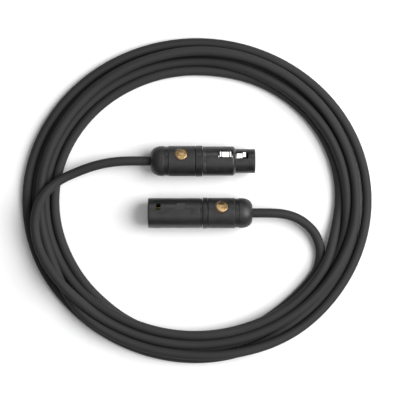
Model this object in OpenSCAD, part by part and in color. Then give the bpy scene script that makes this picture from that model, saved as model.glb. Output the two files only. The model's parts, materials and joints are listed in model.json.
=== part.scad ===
// Three-pole microphone cable, wound into an oval ring, with its two inline connectors in the middle.
// The origin is midway between the connectors, on the surface that everything lies on.
// Each connector is drawn along X, with its mating face at x = 0 and its rear end at negative x,
// and its latch and badge upwards. Then it is rolled about its axis and put in its place.

/* [Cable] */
// Outer diameter of the cable
cable_d = 6.2; // [5.8:0.1:6.4]
// Half length of the coil along X
coil_half_x = 116.5; // [114:0.5:120]
// Half width of the coil along Y
coil_half_y = 108; // [106:0.5:112]
// Half length of the space inside the coil
hole_half_x = 91; // [89:0.5:92]
// Half width of the space inside the coil
hole_half_y = 85; // [83:0.5:86]
// Height of the coil, two layers of cable
coil_h = 12; // [11.5:0.1:12.4]

/* [Connector bodies] */
// Radius of the barrel that goes into the mate
barrel_r = 8; // [7.9:0.01:8]
// Radius of the shell of the connector with sockets
female_shell_r = 9.7; // [9.5:0.1:9.9]
// Radius of the shell of the connector with pins
male_shell_r = 9.9; // [9.7:0.1:10]
// Radius of the socket in the shell with pins
socket_r = 8.05; // [8.03:0.01:8.1]
// Radius of a contact pin
pin_r = 1.195; // [1.19:0.005:1.2]
// Radius of the bore of a contact socket
contact_bore_r = 1.235; // [1.23:0.005:1.26]
// Diameter of the circle that the contacts stand on
contact_circle_d = 7.62; // [7.6:0.01:7.64]

/* [Boots] */
// Radius of the soft grip
grip_r = 10; // [9.8:0.1:10.1]
// Radius of the boot's collar, the widest part, which rests on the surface
collar_r = 10.2; // [10.2:0.1:10.4]
// Radius of the round badge
badge_r = 4.6; // [4:0.1:5]
// Overall length of a connector
connector_l = 69; // [68.5:0.5:72]

/* [Layout] */
// Distance between the two connector axes
connector_gap = 34.4; // [34:0.2:36]
// Roll of the connectors about their own axes
roll = 27; // [20:1:30]

/* [Hidden] */
$fn = 64;

cable_r = cable_d / 2;
axis_z = collar_r;
mating_x = 35.4;
coil_x = -3.2;
coil_y = -9;
hole_shift_y = -2.5;
coil_sides = 96;

// Stations along a connector, measured back from the mating face
female_rear = -32.2;
male_rear = -34.2;
barrel_shoulder = -12.8;
contact_front = -1.3;
insert_seat_female = -15.4;
insert_seat_male = -16.2;
cup_front = -28;
cup_rear = -31;
jacket_end = -34;
thread_front = -27.8;
grip_front = -39.4;
grip_rear = -57.5;
boot_groove_rear = -60;
badge_x = -48.8;
shell_bore_r = 8.6;
barrel_bore_r = 6.9;
insert_r = 6.8;
thread_r = 8.3;
thread_root_r = 7.7;
thread_bore_r = 7;
boot_tail_r = 7.6;
boot_hole_r = cable_r + 0.5;
chuck_bore_r = cable_r + 0.35;
latch_x = -26;
latch_z = 5;
spring_x = -20;
contact_ring = contact_circle_d / 2;
// Places of contacts 1, 2 and 3 on their circle, mirrored so that equal numbers meet
female_angles = [0, 180, -90];
male_angles = [180, 0, -90];
cup_r = 1.6;

// Routes of the two straight stretches of cable, from inside a connector to the coil
female_route = [
    [1.4, 17.2, 10.2], [-16, 17.2, 10.2], [-35, 17.2, 10.2], [-46, 17.3, 10.2], [-53, 17.2, 10.1],
    [-60, 16.5, 9.9], [-67, 15.2, 9.6], [-74, 13.2, 9.4], [-80.5, 10.9, 9.3], [-87, 7.9, 9.3],
    [-93.5, 4.3, 9.3]
];
male_route = [
    [-1.4, -17.2, 10.2], [16, -17.2, 10.2], [35, -17.2, 10.2], [46, -17.2, 10.1], [53, -17.4, 9.4],
    [60, -18.9, 8.2], [67, -22.2, 6.8], [73.5, -27.4, 5.5], [78.5, -33.8, 4.4], [81.4, -40.8, 3.6],
    [82, -46, 3.2]
];

// Solids of revolution about X and placing

// A rod along X
module rod(r, x0, x1) {
    translate([x0, 0, 0]) rotate([0, 90, 0]) cylinder(r = r, h = x1 - x0);
}

// A tube along X
module tube(r_out, r_in, x0, x1) {
    difference() {
        rod(r_out, x0, x1);
        rod(r_in, x0 - 1, x1 + 1);
    }
}

// A solid turned about X from a profile of [radius, x] points
module turned(profile) {
    rotate([0, 90, 0]) rotate_extrude() polygon(profile);
}

// A box from its lowest to its highest corner
module box(low, high) {
    translate(low) cube(high - low);
}

// Puts a connector that faces +X in its place
module female_place() {
    translate([mating_x, connector_gap / 2, axis_z]) rotate([-roll, 0, 0]) children();
}

// Puts a connector that faces -X in its place
module male_place() {
    translate([-mating_x, -connector_gap / 2, axis_z]) rotate([-roll, 0, 0]) rotate([0, 0, 180]) children();
}

// Moves a contact from the axis to its place on the contact circle
module at_contact(angle) {
    rotate([angle, 0, 0]) translate([0, contact_ring, 0]) children();
}

// Tubes swept along a list of points

function unit(v) = v / norm(v);
function direction(p, i) = unit(p[min(i + 1, len(p) - 1)] - p[max(i - 1, 0)]);
function side(d) = unit(cross(d, abs(d[2]) < 0.9 ? [0, 0, 1] : [0, 1, 0]));
function ring_point(p, d, s, r, a) = p + r * cos(a) * s + r * sin(a) * cross(s, d);

module swept(p, r, sides) {
    rings = len(p);
    points = [
        for (i = [0:rings - 1], k = [0:sides - 1])
            let (d = direction(p, i), s = side(d)) ring_point(p[i], d, s, r, 360 * k / sides)
    ];
    walls = [
        for (i = [0:rings - 2], k = [0:sides - 1])
            let (a = i * sides + k, b = i * sides + (k + 1) % sides)
                each [[a, b, b + sides], [a, b + sides, a + sides]]
    ];
    start_cap = [[for (k = [sides - 1:-1:0]) k]];
    end_cap = [[for (k = [0:sides - 1]) (rings - 1) * sides + k]];
    polyhedron(points, concat(walls, start_cap, end_cap));
}

// Cable

function oval(half_x, half_y) = [
    for (k = [0:coil_sides - 1])
        let (a = 360 * k / coil_sides) [half_x * cos(a), half_y * sin(a)]
];

module cable_coil() {
    color([0.15, 0.15, 0.16])
        translate([coil_x, coil_y, 0])
            linear_extrude(coil_h)
                difference() {
                    polygon(oval(coil_half_x, coil_half_y));
                    translate([0, hole_shift_y]) polygon(oval(hole_half_x, hole_half_y));
                }
}

module lead_female() {
    color([0.15, 0.15, 0.16]) swept(female_route, cable_r, 12);
}

module lead_male() {
    color([0.15, 0.15, 0.16]) swept(male_route, cable_r, 12);
}

// Pieces that both connectors have

module contact_holes(x0, x1) {
    for (angle = female_angles) at_contact(angle) rod(cup_r + 0.15, x0, x1);
}

// Bent strip between the shell and the insert, with a leg behind the insert
module ground_spring(x0, x1) {
    color([0.8, 0.8, 0.78]) {
        intersection() {
            tube(shell_bore_r - 0.05, shell_bore_r - 0.4, x0, x1);
            box([x0, -1.5, -shell_bore_r], [x1, 1.5, 0]);
        }
        box([x0 - 0.4, -1.5, 0.3 - shell_bore_r], [x0, 1.5, -insert_r - 0.1]);
    }
}

module ground_notch(x0, x1) {
    difference() {
        box([x0 - 1, -1.7, -shell_bore_r - 1], [x1, 1.7, 0]);
        rod(shell_bore_r - 0.5, x0 - 2, x1 + 1);
    }
}

// Thin ring that closes the joint between the shell and the boot
module collar_ring(rear, length, r) {
    color([0.75, 0.75, 0.74]) tube(r, thread_r + 0.35, rear - length, rear);
}

// Insulated conductor or screen from the end of the jacket to the solder cup at an angle
module wire(angle, r) {
    target = contact_ring * [0, cos(angle), sin(angle)];
    swept([
        [jacket_end + 0.05, 0, 0] + 0.45 * target,
        [jacket_end + 0.6, 0, 0] + 0.45 * target,
        [jacket_end + 2, 0, 0] + 0.9 * target,
        [cup_rear + 1, 0, 0] + target
    ], r, 8);
}

module wire_screen(angles) {
    color([0.8, 0.5, 0.3]) wire(angles[0], 0.6);
}

module wire_hot(angles) {
    color([0.7, 0.1, 0.1]) wire(angles[1], 0.8);
}

module wire_cold(angles) {
    color([0.9, 0.9, 0.88]) wire(angles[2], 0.8);
}

// Slotted collet that grips the cable
module chuck() {
    color([0.85, 0.85, 0.82])
        difference() {
            turned([
                [chuck_bore_r, -34.5], [thread_bore_r - 0.35, -34.5], [thread_bore_r - 0.35, -37],
                [4.6, -51.5], [chuck_bore_r, -51.5]
            ]);
            for (a = [0, 90]) rotate([a, 0, 0]) box([-53, -0.6, -8], [-38.5, 0.6, 8]);
        }
}

// Threaded bushing: its thread goes into the shell and its cone closes the collet
module boot_core(front) {
    color([0.07, 0.07, 0.08])
        turned([
            [thread_bore_r, thread_front], [thread_root_r, thread_front],
            for (k = [0:2]) each [
                [thread_root_r, thread_front - 0.6 - k * 1.5], [thread_r, thread_front - 0.9 - k * 1.5],
                [thread_r, thread_front - 1.3 - k * 1.5], [thread_root_r, thread_front - 1.6 - k * 1.5]
            ],
            [thread_root_r, front], [collar_r - 0.3, front], [collar_r, front - 0.3],
            [collar_r, grip_front + 0.3], [collar_r - 0.3, grip_front],
            [8.6, grip_front], [8.6, grip_rear], [9.6, grip_rear], [9.6, boot_groove_rear],
            [boot_tail_r, boot_groove_rear], [boot_tail_r, -62], [boot_hole_r, -62], [boot_hole_r, -52],
            [4.9, -52], [thread_bore_r, -37.5]
        ]);
}

// Soft sleeve of the boot, with a seat for the badge
module boot_sleeve() {
    color([0.12, 0.12, 0.13])
        difference() {
            turned([
                [8.65, grip_rear + 0.05], [grip_r - 0.4, grip_rear + 0.05], [grip_r, grip_rear + 0.45],
                [grip_r, grip_front - 0.5], [grip_r - 0.4, grip_front - 0.05], [8.65, grip_front - 0.05]
            ]);
            intersection() {
                tube(grip_r + 1, grip_r - 0.55, grip_rear, grip_front);
                translate([badge_x, 0, 0]) cylinder(r = badge_r + 0.15, h = grip_r + 2);
            }
        }
}

// Bullet-shaped rear end of the boot, round where the cable comes out
module end_cap() {
    rear = -connector_l;
    color([0.12, 0.12, 0.13])
        turned([
            [boot_tail_r + 0.05, boot_groove_rear], [9.7, boot_groove_rear], [9.9, boot_groove_rear - 0.3],
            for (a = [0:10:90]) [4.6 + 5.3 * cos(a), -62 + (rear + 62) * sin(a)],
            [boot_hole_r, rear], [boot_hole_r, -62.05], [boot_tail_r + 0.05, -62.05]
        ]);
}

// Plain round badge, curved to the sleeve
module badge() {
    color([0.72, 0.55, 0.25])
        intersection() {
            tube(grip_r + 0.05, grip_r - 0.45, grip_rear, grip_front);
            translate([badge_x, 0, 0]) cylinder(r = badge_r, h = grip_r + 2);
        }
}

// Connector with sockets

module female_shell() {
    color([0.16, 0.16, 0.17])
        difference() {
            turned([
                [shell_bore_r, female_rear], [female_shell_r - 0.15, female_rear],
                [female_shell_r, female_rear + 0.15], [female_shell_r, -14.7],
                [female_shell_r - 0.3, -14.2], [barrel_r, barrel_shoulder], [barrel_r, -0.4],
                [barrel_r - 0.4, 0], [barrel_bore_r, 0],
                [barrel_bore_r, insert_seat_female], [shell_bore_r, insert_seat_female]
            ]);
            for (x = [-4.4, -3.05]) tube(barrel_r + 1, barrel_r - 0.2, x, x + 0.6);
            // windows for the latch's tab and for its tooth
            box([-24.2, -2.35, 6], [-15, 2.35, 11]);
            box([-12.7, -2.2, 5], [-4.6, 2.2, 11]);
        }
}

module female_insert() {
    flange_rear = -24;
    color([0.1, 0.1, 0.11])
        difference() {
            union() {
                rod(insert_r, cup_front, -0.8);
                rod(shell_bore_r - 0.2, flange_rear, insert_seat_female - 0.05);
            }
            contact_holes(cup_front - 1, 1);
            // channel for the latch, the seat of its spring and the hole for its pin
            box([cup_front - 1, -2.6, 3.3], [-2.6, 2.6, 12]);
            translate([spring_x, 0, 1.3]) cylinder(r = 1.6, h = 4);
            translate([latch_x, 5, latch_z]) rotate([90, 0, 0]) cylinder(r = 0.62, h = 10);
            ground_notch(flange_rear, insert_seat_female);
        }
}

// Contact socket with a solder cup at its rear
module female_contact(n) {
    color([0.8, 0.7, 0.4])
        at_contact(female_angles[n - 1])
            difference() {
                rod(cup_r, cup_rear, contact_front);
                rod(contact_bore_r, -14.5, 0);
                rod(1.1, cup_rear - 1, cup_front - 0.6);
            }
}

// Lever with a thumb tab, a strip and a tooth, on a pivot behind the tab
module female_latch() {
    color([0.8, 0.8, 0.78])
        difference() {
            union() {
                rotate([90, 0, 0])
                    translate([0, 0, -1.75])
                        linear_extrude(3.5)
                            polygon([
                                [latch_x, 4.9], [-5.4, 4.9], [-5, 5.3], [-5.2, 6.4], [-6.4, 8.9],
                                [-8.2, 8.9], [-8.5, 7.2], [-12.1, 7.2], [-12.4, 6.2], [latch_x, 6.2]
                            ]);
                rotate([90, 0, 0])
                    translate([0, 0, -1.9])
                        linear_extrude(3.8)
                            polygon([
                                [-23.7, 5.6], [-15.6, 5.6], [-15.6, 9.1], [-16, 9.5],
                                [-16.8, 9.5], [-17.4, 9.1], [-21.9, 9.1], [-22.5, 9.5],
                                [-23.3, 9.5], [-23.7, 9.1]
                            ]);
                translate([latch_x, 1.75, latch_z]) rotate([90, 0, 0]) cylinder(r = 1.3, h = 3.5);
            }
            translate([latch_x, 5, latch_z]) rotate([90, 0, 0]) cylinder(r = 0.65, h = 10);
        }
}

module female_latch_pin() {
    color([0.7, 0.7, 0.7])
        translate([latch_x, 3.9, latch_z]) rotate([90, 0, 0]) cylinder(r = 0.6, h = 7.8);
}

module female_latch_spring() {
    turns = 4;
    steps = 10;
    r = 1.1;
    bottom = 1.7;
    rise = 2.9 / turns / steps;
    color([0.7, 0.7, 0.7])
        swept([
            for (i = [0:turns * steps])
                let (a = 360 * i / steps) [spring_x + r * cos(a), r * sin(a), bottom + rise * i]
        ], 0.2, 6);
}

// Connector with pins

module male_shell() {
    color([0.16, 0.16, 0.17])
        difference() {
            turned([
                [shell_bore_r, male_rear], [male_shell_r - 0.15, male_rear],
                [male_shell_r, male_rear + 0.15], [male_shell_r, -0.7], [male_shell_r - 0.2, -0.2],
                [male_shell_r - 0.6, 0], [socket_r + 0.4, 0], [socket_r, -0.4],
                [socket_r, insert_seat_male], [shell_bore_r, insert_seat_male]
            ]);
            // hole that the mate's latch drops into, and a flat for the thumb
            box([-8.4, -2.3, 5], [-5.6, 2.3, 12]);
            box([-25, -5, male_shell_r - 0.3], [-19, 5, 12]);
        }
}

module male_insert() {
    rear = -25;
    color([0.1, 0.1, 0.11])
        difference() {
            rod(shell_bore_r - 0.1, rear, insert_seat_male - 0.05);
            contact_holes(rear - 1, 0);
            ground_notch(rear, insert_seat_male);
        }
}

// Contact pin with a round tip in front and a solder cup at its rear
module male_pin(n) {
    tip_x = -2.6;
    color([0.8, 0.7, 0.4])
        at_contact(male_angles[n - 1])
            difference() {
                union() {
                    rod(pin_r, insert_seat_male - 0.1, tip_x - pin_r);
                    translate([tip_x - pin_r, 0, 0]) sphere(r = pin_r);
                    rod(cup_r, cup_rear, insert_seat_male - 0.05);
                }
                rod(1.1, cup_rear - 1, cup_front - 0.6);
            }
}

cable_coil();
lead_female();
lead_male();

// Nodes of the connector with sockets
female_place() female_shell();
female_place() female_insert();
female_place() female_contact(1);  // female_contact_1
female_place() female_contact(2);  // female_contact_2
female_place() female_contact(3);  // female_contact_3
female_place() female_latch();
female_place() female_latch_pin();
female_place() female_latch_spring();
female_place() ground_spring(-24, -16);  // female_ground_spring
female_place() collar_ring(female_rear, 2.4, 9.75);  // female_collar_ring
female_place() wire_hot(female_angles);  // female_wire_hot
female_place() wire_cold(female_angles);  // female_wire_cold
female_place() wire_screen(female_angles);  // female_wire_screen
female_place() chuck();  // female_chuck
female_place() boot_core(female_rear - 2.55);  // female_boot_core
female_place() boot_sleeve();  // female_boot_sleeve
female_place() end_cap();  // female_end_cap
female_place() badge();  // female_badge

// Nodes of the connector with pins
male_place() male_shell();
male_place() male_insert();
male_place() male_pin(1);  // male_pin_1
male_place() male_pin(2);  // male_pin_2
male_place() male_pin(3);  // male_pin_3
male_place() ground_spring(-25, -17);  // male_ground_spring
male_place() collar_ring(male_rear, 1.8, 9.75);  // male_collar_ring
male_place() wire_hot(male_angles);  // male_wire_hot
male_place() wire_cold(male_angles);  // male_wire_cold
male_place() wire_screen(male_angles);  // male_wire_screen
male_place() chuck();  // male_chuck
male_place() boot_core(male_rear - 1.95);  // male_boot_core
male_place() boot_sleeve();  // male_boot_sleeve
male_place() end_cap();  // male_end_cap
male_place() badge();  // male_badge
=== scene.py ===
import json
import math

import bpy
import numpy as np
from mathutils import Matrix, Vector


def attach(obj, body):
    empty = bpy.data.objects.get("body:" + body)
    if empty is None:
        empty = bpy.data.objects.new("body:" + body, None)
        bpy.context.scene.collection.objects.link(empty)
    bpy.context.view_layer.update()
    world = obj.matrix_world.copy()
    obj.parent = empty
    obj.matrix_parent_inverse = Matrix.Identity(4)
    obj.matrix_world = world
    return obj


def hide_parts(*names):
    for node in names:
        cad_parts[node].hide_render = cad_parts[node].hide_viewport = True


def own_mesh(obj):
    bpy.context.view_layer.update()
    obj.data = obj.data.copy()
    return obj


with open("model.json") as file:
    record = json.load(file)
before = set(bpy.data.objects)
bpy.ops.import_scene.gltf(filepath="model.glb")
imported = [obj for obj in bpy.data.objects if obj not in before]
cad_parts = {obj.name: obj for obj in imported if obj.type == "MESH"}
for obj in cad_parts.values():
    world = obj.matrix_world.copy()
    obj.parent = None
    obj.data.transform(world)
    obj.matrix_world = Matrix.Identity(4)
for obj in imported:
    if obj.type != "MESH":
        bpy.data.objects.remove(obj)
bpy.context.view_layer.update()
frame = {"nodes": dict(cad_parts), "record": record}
nodes = frame["nodes"]
scene = bpy.context.scene
scene.view_settings.view_transform = "Standard"

CABLE_D = 0.0062
CABLE_R = CABLE_D / 2
# Length of one piece of the cable's line, and the number of sides of the tube round it
CABLE_STEP = 0.0023
CABLE_SIDES = 20
# Where the line bends with a smaller radius than this, it is eased: the whole line for the first
# rounds, then only those places
TIGHTEST = 0.0205
WHOLE_ROUNDS = 10
MOST_ROUNDS = 300


# Camera, straight above

CAMERA_PLACE = (-0.00103, -0.0086, 1.0)
# Half the width that the view takes in, at the height of a strand's middle on the floor
HALF_VIEW = 0.1334
SENSOR = 36


def make_camera():
    data = bpy.data.cameras.new("camera")
    data.sensor_width = SENSOR
    data.lens = SENSOR / 2 / (HALF_VIEW / (CAMERA_PLACE[2] - CABLE_R))
    data.clip_start, data.clip_end = 0.05, 10
    camera = bpy.data.objects.new("camera", data)
    camera.location = CAMERA_PLACE
    scene.collection.objects.link(camera)
    scene.camera = camera


make_camera()


# Cable: the two leads, and between them the winding. These numbers are in millimetres.

# The leads, from inside each connector to the coil
FEMALE_ROUTE = [
    (1.4, 17.2, 10.2), (-16, 17.2, 10.2), (-35, 17.2, 10.2), (-46, 17.3, 10.2),
    (-53, 17.2, 10.1), (-60, 16.5, 9.9), (-67, 15.2, 9.6), (-74, 13.2, 9.4),
    (-80.5, 10.9, 9.3), (-87, 7.9, 9.3),
]
MALE_ROUTE = [
    (-1.4, -17.2, 10.2), (16, -17.2, 10.2), (35, -17.2, 10.2), (46, -17.2, 10.1),
    (53, -17.4, 9.4), (60, -18.9, 8.2), (67, -22.2, 6.8), (73.5, -27.4, 5.5),
    (78.5, -33.8, 4.4), (81.4, -40.8, 3.6),
]
# Where each turn is laid: angle round the coil in degrees, distance in from the coil's outer edge,
# height of the middle of the strand
LAY = [
    (171, 25.4, 9.9), (172.5, 23, 10.6), (175, 18.5, 12.2), (177, 15.5, 13.5), (180, 13, 14.4),
    (183, 10.6, 13.8), (186, 8.9, 13), (190, 7.4, 12), (195, 6.9, 11.4), (200, 7.3, 12),
    (205, 8.4, 13.3), (210, 9.4, 14.4), (215, 10.5, 13.6), (220, 11.4, 12), (225, 12, 10.5),
    (230, 12.4, 9.5), (240, 13.4, 8.8), (250, 13.7, 8.6), (290, 13.7, 8.6), (300, 13, 8.6),
    (315, 12.8, 8.6), (330, 12.3, 8.6), (345, 11.9, 8.6), (375, 11.1, 8.6), (390, 10.3, 8.6),
    (405, 9.7, 8.6), (420, 9.3, 8.6), (435, 9.1, 8.6), (450, 9.2, 8.6), (465, 10.1, 8.6),
    (480, 10.8, 8.6), (495, 11.5, 8.6), (510, 12.2, 8.6), (525, 12.3, 8.6), (555, 12.4, 8.5),
    (565, 11.4, 8.6), (570, 9.9, 8.7), (575, 7.9, 8.7), (580, 6.6, 8.7), (585, 5.9, 8.6),
    (625, 5.8, 8.6), (638, 5, 8.1), (650, 4.4, 6.9), (660, 4.1, 5.5), (670, 3.8, 4.3),
    (680, 3.5, 3.4), (690, 3.2, 3.1), (810, 3.1, 3.1), (840, 3.6, 3.1), (870, 4, 3.1),
    (930, 4.1, 3.1), (945, 4.2, 3.1), (960, 3.9, 3.1), (990, 3.1, 3.1), (1005, 3.6, 3.1),
    (1015, 5.3, 3.1), (1030, 8.2, 3.1), (1045, 9.2, 3.1), (1060, 9.6, 3.1), (1080, 10.7, 3.1),
    (1095, 11.6, 3.1), (1125, 11.8, 3.1), (1140, 11.4, 3.1), (1155, 10.7, 3.1), (1170, 9.9, 3.1),
    (1190, 9.6, 3.1), (1230, 10, 3.1), (1305, 10, 3.1), (1350, 9.5, 3.1), (1365, 10, 3.1),
    (1380, 12.2, 3.1), (1395, 14.6, 3.3), (1410, 15.8, 4.4), (1425, 17.2, 7.2), (1440, 17.9, 8.3),
    (1500, 17.8, 8.2), (1515, 17, 6.6), (1530, 15.9, 3.8), (1545, 15.7, 3.1), (1590, 16.2, 3.1),
    (1620, 15.9, 3.1), (1650, 15.5, 4.5), (1680, 16.3, 7.5), (1710, 17.5, 8.6), (1740, 18.4, 8.2),
    (1770, 19.6, 6.4), (1790, 20.8, 3.6), (1800, 20.4, 3.1), (1830, 19.8, 3.1), (1860, 20, 3.1),
    (1890, 21, 3.1), (1920, 22, 3.1), (1950, 22.1, 3.1), (1980, 21.6, 3.1), (1995, 20.8, 3.1),
    (2010, 19.9, 3.1), (2025, 18.9, 3.1), (2040, 17.7, 3.1), (2055, 17, 3.1), (2070, 16.5, 3.1),
    (2085, 16.6, 3.1), (2100, 17.6, 3.1), (2115, 19, 3.1), (2124, 19.8, 3.1), (2130, 20.8, 3.1),
    (2136, 22.7, 3.1),
]
# The coil's outer edge is an ellipse: its middle, half its length and half its width
CENTRE = (-3.2, -9)
HALF_X, HALF_Y = 116.9, 108.5
# Points that are settled in each turn, and how close two strands come
PER_TURN = 192
TOUCH = 6.18
SETTLE_ROUNDS = 500
# In each round, how much stays of a point's offset from where it was laid, inwards and in height,
# how much of it the neighbours even out, and how far the point sinks
KEPT_OFFSET = np.array([0.97, 0.995])
STIFFNESS = 0.35
SINK = 0.02


def outer_edge(phi):
    """Distance of the outer edge from the coil's middle."""
    t = np.radians(phi)
    return HALF_X * HALF_Y / np.hypot(HALF_Y * np.cos(t), HALF_X * np.sin(t))


def settle():
    """Lets the turns sink and push each other apart until they lie on and beside each other."""
    keys = np.array(LAY, float)
    step = 360 / PER_TURN
    phi = np.arange(keys[0, 0], keys[-1, 0] + step / 2, step)
    wanted = np.stack([np.interp(phi, keys[:, 0], keys[:, k]) for k in (1, 2)], 1)
    # Takes the corners off the laid line
    for _ in range(6):
        wanted[1:-1] = (wanted[:-2] + 2 * wanted[1:-1] + wanted[2:]) / 4
    p = wanted.copy()
    for _ in range(SETTLE_ROUNDS):
        off = p - wanted
        for _ in range(2):
            off[1:-1] += STIFFNESS * (off[:-2] + off[2:] - 2 * off[1:-1])
        p = wanted + off * KEPT_OFFSET
        p[:, 1] -= SINK
        # A strand that crosses the others at a slant is wider in the cross-section
        slope = np.gradient(p[:, 0]) / (math.radians(step) * outer_edge(phi))
        flat = 1 / np.hypot(1, slope)
        for _ in range(3):
            # Each turn against the next one, the one after that and so on
            for n in range(1, 6):
                i = np.arange(len(p) - n * PER_TURN)
                j = i + n * PER_TURN
                gap = (p[j] - p[i]) * np.stack([np.minimum(flat[i], flat[j]), np.ones(len(i))], 1)
                far = np.linalg.norm(gap, axis=1)
                near = far < TOUCH
                push = (TOUCH - far[near]) / 2 / np.maximum(far[near], 1e-6)
                move = gap[near] * push[:, None]
                p[i[near]] -= move
                p[j[near]] += move
            p[:, 1] = np.maximum(p[:, 1], CABLE_R * 1000)
        p[0], p[-1] = wanted[0], wanted[-1]
    return phi, p


def cable_points():
    """The points of the whole cable, from one connector to the other, in metres."""
    phi, p = settle()
    # Every second point is enough for a smooth curve
    phi, p = phi[::2], p[::2]
    t = np.radians(phi)
    radius = outer_edge(phi) - p[:, 0]
    turns = np.stack([
        CENTRE[0] + radius * np.cos(t), CENTRE[1] + radius * np.sin(t), p[:, 1]
    ], 1)
    return np.concatenate([FEMALE_ROUTE, turns, MALE_ROUTE[::-1]]) / 1000


def smooth_line(points, step):
    """Evenly spaced points on a curve through the given ones, eased where it bends too tightly."""
    at = np.concatenate([[0], np.cumsum(np.linalg.norm(np.diff(points, axis=0), axis=1))])
    slope = np.gradient(points, at, axis=0)
    fine = np.linspace(0, at[-1], round(at[-1] / step) + 1)
    i = np.clip(np.searchsorted(at, fine, "right") - 1, 0, len(at) - 2)
    h = (at[i + 1] - at[i])[:, None]
    u = ((fine - at[i]) / h[:, 0])[:, None]
    line = (
        (2 * u**3 - 3 * u**2 + 1) * points[i] + (u**3 - 2 * u**2 + u) * h * slope[i]
        + (3 * u**2 - 2 * u**3) * points[i + 1] + (u**3 - u**2) * h * slope[i + 1]
    )
    for n in range(MOST_ROUNDS):
        along = np.gradient(line, axis=0)
        turning = np.linalg.norm(np.cross(along, np.gradient(along, axis=0)), axis=1)
        tight = turning > np.linalg.norm(along, axis=1) ** 3 / TIGHTEST
        if n >= WHOLE_ROUNDS and not tight.any():
            break
        # A tight place and four points on either side of it
        wide = np.convolve(tight | (n < WHOLE_ROUNDS), np.ones(9), "same")[1:-1] > 0
        line[1:-1][wide] = ((line[:-2] + 2 * line[1:-1] + line[2:]) / 4)[wide]
    return line


def tube_faces(rings, sides):
    """The faces of a closed tube through rings of points."""
    faces = [
        (i * sides + k, i * sides + (k + 1) % sides, (i + 1) * sides + (k + 1) % sides,
         (i + 1) * sides + k)
        for i in range(rings - 1) for k in range(sides)
    ]
    start = tuple(range(sides - 1, -1, -1))
    end = tuple((rings - 1) * sides + k for k in range(sides))
    return faces + [start, end]


def make_object(name, points, faces, *materials):
    mesh = bpy.data.meshes.new(name)
    mesh.from_pydata(points, [], faces)
    for m in materials:
        mesh.materials.append(m)
    obj = bpy.data.objects.new(name, mesh)
    scene.collection.objects.link(obj)
    return obj


def make_cable():
    line = smooth_line(cable_points(), CABLE_STEP)
    along = np.gradient(line, axis=0)
    along /= np.linalg.norm(along, axis=1)[:, None]
    # A cross direction carried along the line without twisting
    across = np.zeros_like(line)
    v = np.array([0, 0, 1.0])
    for i, d in enumerate(along):
        v = v - d * (v @ d)
        v /= np.linalg.norm(v)
        across[i] = v
    up = np.cross(along, across)
    n, sides = len(line), CABLE_SIDES
    turn = np.arange(sides) * 2 * math.pi / sides
    rings = line[:, None] + CABLE_R * (
        across[:, None] * np.cos(turn)[:, None] + up[:, None] * np.sin(turn)[:, None]
    )
    faces = tube_faces(n, sides)
    cable = make_object("cable", [tuple(p) for p in rings.reshape(-1, 3)], faces)
    cable.data.polygons.foreach_set("use_smooth", [len(f) == 4 for f in faces])
    # Place of each point on the straightened cable, for the jacket's grain
    straight = np.zeros((n, sides, 3))
    straight[:, :, 0] = CABLE_R * np.cos(turn)
    straight[:, :, 1] = CABLE_R * np.sin(turn)
    straight[:, :, 2] = np.concatenate(
        [[0], np.cumsum(np.linalg.norm(np.diff(line, axis=0), axis=1))])[:, None]
    cable.data.attributes.new("straight", "FLOAT_VECTOR", "POINT").data.foreach_set(
        "vector", straight.ravel())
    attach(cable, "root")
    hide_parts("cable_coil", "lead_female", "lead_male")
    return cable


cable = make_cable()


# Materials

# Height of the grain, and where in the broad noise the low and the high value are reached
GRAIN_DEPTH = 0.0001
LOW, HIGH = 0.3, 0.7


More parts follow.
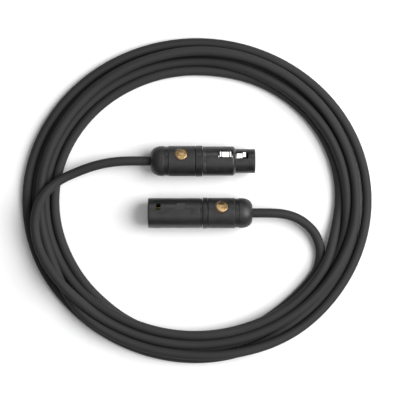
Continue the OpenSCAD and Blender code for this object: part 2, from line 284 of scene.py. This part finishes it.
def material(name, base, rough, metallic=0.0, bump=0.0, scale=900.0, rough_var=0.08, tint=0.25,
             specular=0.5, stretch=(1, 1, 1), attribute=None, edge=0.0):
    """Principled surface with mottled colour, uneven gloss, a fine grain and soft edges.

    scale is that of the grain, which stretch draws out. rough_var and tint say by how much gloss
    and colour vary, and edge is the radius of the soft edges, in metres.
    """
    m = bpy.data.materials.new(name)
    m.use_nodes = True
    tree = m.node_tree
    bsdf = tree.nodes["Principled BSDF"]
    new, link = tree.nodes.new, tree.links.new
    bsdf.inputs["Metallic"].default_value = metallic
    bsdf.inputs["Specular IOR Level"].default_value = specular
    place = new("ShaderNodeMapping")
    place.inputs["Scale"].default_value = stretch
    if attribute:
        coords = new("ShaderNodeAttribute")
        coords.attribute_name = attribute
        link(coords.outputs["Vector"], place.inputs["Vector"])
    else:
        coords = new("ShaderNodeTexCoord")
        link(coords.outputs["Object"], place.inputs["Vector"])
    broad = new("ShaderNodeTexNoise")
    broad.inputs["Scale"].default_value = scale / 12
    broad.inputs["Detail"].default_value = 4
    link(place.outputs["Vector"], broad.inputs["Vector"])
    ramp = new("ShaderNodeValToRGB")
    low, high = ramp.color_ramp.elements
    low.color = (*(c * (1 - tint) for c in base), 1)
    low.position = LOW
    high.color = (*(min(1, c * (1 + tint)) for c in base), 1)
    high.position = HIGH
    link(broad.outputs["Fac"], ramp.inputs["Fac"])
    link(ramp.outputs["Color"], bsdf.inputs["Base Color"])
    gloss = new("ShaderNodeMapRange")
    gloss.inputs["From Min"].default_value = LOW
    gloss.inputs["From Max"].default_value = HIGH
    gloss.inputs["To Min"].default_value = rough - rough_var
    gloss.inputs["To Max"].default_value = rough + rough_var
    link(broad.outputs["Fac"], gloss.inputs["Value"])
    link(gloss.outputs["Result"], bsdf.inputs["Roughness"])
    if bump:
        fine = new("ShaderNodeTexNoise")
        fine.inputs["Scale"].default_value = scale
        fine.inputs["Detail"].default_value = 3
        link(place.outputs["Vector"], fine.inputs["Vector"])
        relief = new("ShaderNodeBump")
        relief.inputs["Strength"].default_value = bump
        relief.inputs["Distance"].default_value = GRAIN_DEPTH
        link(fine.outputs["Fac"], relief.inputs["Height"])
        link(relief.outputs["Normal"], bsdf.inputs["Normal"])
        if edge:
            round_edge = new("ShaderNodeBevel")
            round_edge.samples = 4
            round_edge.inputs["Radius"].default_value = edge
            link(round_edge.outputs["Normal"], relief.inputs["Normal"])
    return m


finish_of = {
    "cable_jacket": material("jacket", (0.026, 0.026, 0.027), 0.68, bump=0.3, scale=1400,
                             specular=0.22, stretch=(1, 1, 0.15), attribute="straight"),
    "shell_black": material("shell", (0.012, 0.012, 0.0125), 0.4, bump=0.06, scale=2500,
                            specular=0.6, edge=0.00025),
    "insert_plastic": material("insert", (0.012, 0.012, 0.013), 0.5, bump=0.15, scale=2000,
                               edge=0.0002),
    "contact_gold": material("gold", (0.83, 0.6, 0.24), 0.22, metallic=1, bump=0.05, scale=3000,
                             edge=0.0001),
    "latch_nickel": material("nickel", (0.86, 0.85, 0.83), 0.26, metallic=1, bump=0.03, scale=3000,
                             rough_var=0.04, tint=0.05, edge=0.00015),
    "spring_steel": material("steel", (0.62, 0.61, 0.6), 0.3, metallic=1, bump=0.05, scale=3000),
    "ring_nickel": material("ring", (0.03, 0.03, 0.031), 0.3, bump=0.05, scale=3000, edge=0.0001),
    "ring_black": material("ring_dark", (0.012, 0.012, 0.012), 0.35, bump=0.05, scale=3000,
                           edge=0.0001),
    "wire_red": material("wire_red", (0.5, 0.03, 0.03), 0.45, bump=0.1, scale=3000),
    "wire_white": material("wire_white", (0.75, 0.74, 0.7), 0.45, bump=0.1, scale=3000),
    "wire_bare": material("wire_bare", (0.85, 0.52, 0.36), 0.35, metallic=1, bump=0.3, scale=4000),
    "chuck_plastic": material("chuck", (0.6, 0.59, 0.55), 0.5, bump=0.15, scale=2000),
    "boot_plastic": material("boot", (0.011, 0.011, 0.0115), 0.42, bump=0.12, scale=2200,
                             edge=0.0003),
    "grip_rubber": material("grip", (0.015, 0.015, 0.0155), 0.48, bump=0.3, scale=2600,
                            edge=0.0003),
    "badge_brass": material("badge", (0.46, 0.31, 0.15), 0.36, metallic=1, bump=0.1, scale=2500,
                            tint=0.5),
}
# The badges' rim, in the same slot as their brass
badge_dark = material("badge_dark", (0.05, 0.032, 0.02), 0.3, bump=0.05, scale=3000, specular=0.6)


def dress(obj, slot):
    obj.data.materials.clear()
    obj.data.materials.append(finish_of[slot])


for part in frame["record"]["subparts"]:
    dress(nodes[part["node"]], part["material_slot"])
dress(cable, "cable_jacket")


# The connectors' own frames, in millimetres: X from the mating face, Z towards latch and badge

# Where the mating face's middle lies, with the signs turned for the connector with pins
MATING_X = 35.4
SIDE_Y = 17.2
AXIS_Z = 10.2
# How far both connectors are rolled about their axis
ROLL = math.radians(27)


def connector_place(name, x, y, z):
    """From a connector's own frame, in millimetres, to its place, in metres."""
    side = 1
    if name == "male":
        side, x, y = -1, -x, -y
    return (
        (side * MATING_X + x) / 1000,
        (side * SIDE_Y + y * math.cos(ROLL) + z * math.sin(ROLL)) / 1000,
        (AXIS_Z - y * math.sin(ROLL) + z * math.cos(ROLL)) / 1000,
    )


# Badges: a dark rim round a brass middle with a ring of small rays

# Radius and height above the grip of each ring of points, in millimetres: the underside from its
# middle out to the edge, then the top from the edge in
BADGE_PROFILE = [
    (0.5, -0.5), (1.9, -0.5), (3.3, -0.5), (4.6, -0.5),
    (4.6, 0.08), (4.52, 0.15), (4.3, 0.16), (4.2, 0.1), (4.16, 0), (3.84, 0), (3.78, 0.02),
    (3.72, 0.1), (3.6, 0.14), (3.1, 0.15), (3, 0.1), (2.1, 0.1), (2, 0.16), (1.2, 0.2), (0.5, 0.22),
]
# Radius of the brass middle
BADGE_MIDDLE = 3.8
# The ring in which the rays stand up from the brass, how far they do, and how many there are
RAY_RING = (2.05, 3.05)
RAY_HEIGHT = 0.09
BADGE_RAYS = 24
# Middle of the badge along the connector, and radius of the grip that it lies on
BADGE_X = -48.8
GRIP_R = 10


def make_badge(name):
    around = BADGE_RAYS * 4
    points = []
    for r, h in BADGE_PROFILE:
        for k in range(around):
            a = 2 * math.pi * k / around
            on_ray = h > 0 and RAY_RING[0] < r < RAY_RING[1] and k % 4 in (0, 1)
            y = r * math.sin(a)
            z = math.sqrt((GRIP_R + h + (RAY_HEIGHT if on_ray else 0)) ** 2 - y * y)
            points.append(connector_place(name, BADGE_X + r * math.cos(a), y, z))
    faces = tube_faces(len(BADGE_PROFILE), around)
    badge = make_object(name + "_badge_disc", points, faces, finish_of["badge_brass"], badge_dark)
    dark = [int(r > BADGE_MIDDLE) for r, _ in BADGE_PROFILE[:-1] for _ in range(around)] + [0, 0]
    badge.data.polygons.foreach_set("material_index", dark)
    badge.data.polygons.foreach_set("use_smooth", [True] * len(faces))
    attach(badge, name + "_boot")
    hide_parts(name + "_badge")


for name in ("female", "male"):
    make_badge(name)


# Spring under the latch

def make_spring():
    """A coil spring that stands 20 mm behind the mating face, above the connector's axis."""
    turns, per_turn, sides = 4, 24, 10
    coil_r, wire_r, bottom, top = 1.1, 0.2, 1.7, 4.6
    points = []
    n = turns * per_turn + 1
    for i in range(n):
        a = 2 * math.pi * i / per_turn
        for k in range(sides):
            b = 2 * math.pi * k / sides
            r = coil_r + wire_r * math.cos(b)
            z = bottom + (top - bottom) * i / (n - 1) - wire_r * math.sin(b)
            points.append(connector_place("female", -20 + r * math.cos(a), r * math.sin(a), z))
    faces = tube_faces(n, sides)
    spring = make_object("latch_spring", points, faces, finish_of["spring_steel"])
    spring.data.polygons.foreach_set("use_smooth", [len(f) == 4 for f in faces])
    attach(spring, "root")
    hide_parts("female_latch_spring")
    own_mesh(spring)


make_spring()


# Floor and light

def make_floor():
    """A pale square, 6 m wide."""
    s = 3
    paper = material("paper", (0.88, 0.88, 0.88), 0.8, bump=0.05, scale=600, rough_var=0.05,
                     tint=0.01, specular=0.2)
    corners = [(-s, -s, 0), (s, -s, 0), (s, s, 0), (-s, s, 0)]
    floor = make_object("floor", corners, [(0, 1, 2, 3)], paper)


def make_light(name, place, size, power):
    """A round soft light, aimed at the middle of the scene."""
    data = bpy.data.lights.new(name, "AREA")
    data.shape = "DISK"
    data.size = size
    data.energy = power
    light = bpy.data.objects.new(name, data)
    light.location = place
    light.rotation_mode = "QUATERNION"
    light.rotation_quaternion = (-Vector(place)).to_track_quat("-Z", "Y")
    scene.collection.objects.link(light)


make_floor()
make_light("key", (1.0, 0.12, 1.11), 1.3, 35)
make_light("card", (0, 1.2, 0.88), 0.6, 2.2)
make_light("fill", (0.1, -0.7, 1.35), 1.0, 2)


def make_sky():
    """A pale studio: bright overhead, dim towards the horizon."""
    world = bpy.data.worlds.new("world")
    scene.world = world
    world.use_nodes = True
    tree = world.node_tree
    new, link = tree.nodes.new, tree.links.new
    coords = new("ShaderNodeTexCoord")
    split = new("ShaderNodeSeparateXYZ")
    ramp = new("ShaderNodeValToRGB")
    link(coords.outputs["Generated"], split.inputs["Vector"])
    link(split.outputs["Z"], ramp.inputs["Fac"])
    link(ramp.outputs["Color"], tree.nodes["Background"].inputs["Color"])
    horizon, zenith = ramp.color_ramp.elements
    horizon.color = (0.08, 0.08, 0.08, 1)
    horizon.position = 0.1
    zenith.color = (1, 1, 1, 1)
    zenith.position = 1
    tree.nodes["Background"].inputs["Strength"].default_value = 0.36


make_sky()
bpy.context.view_layer.update()
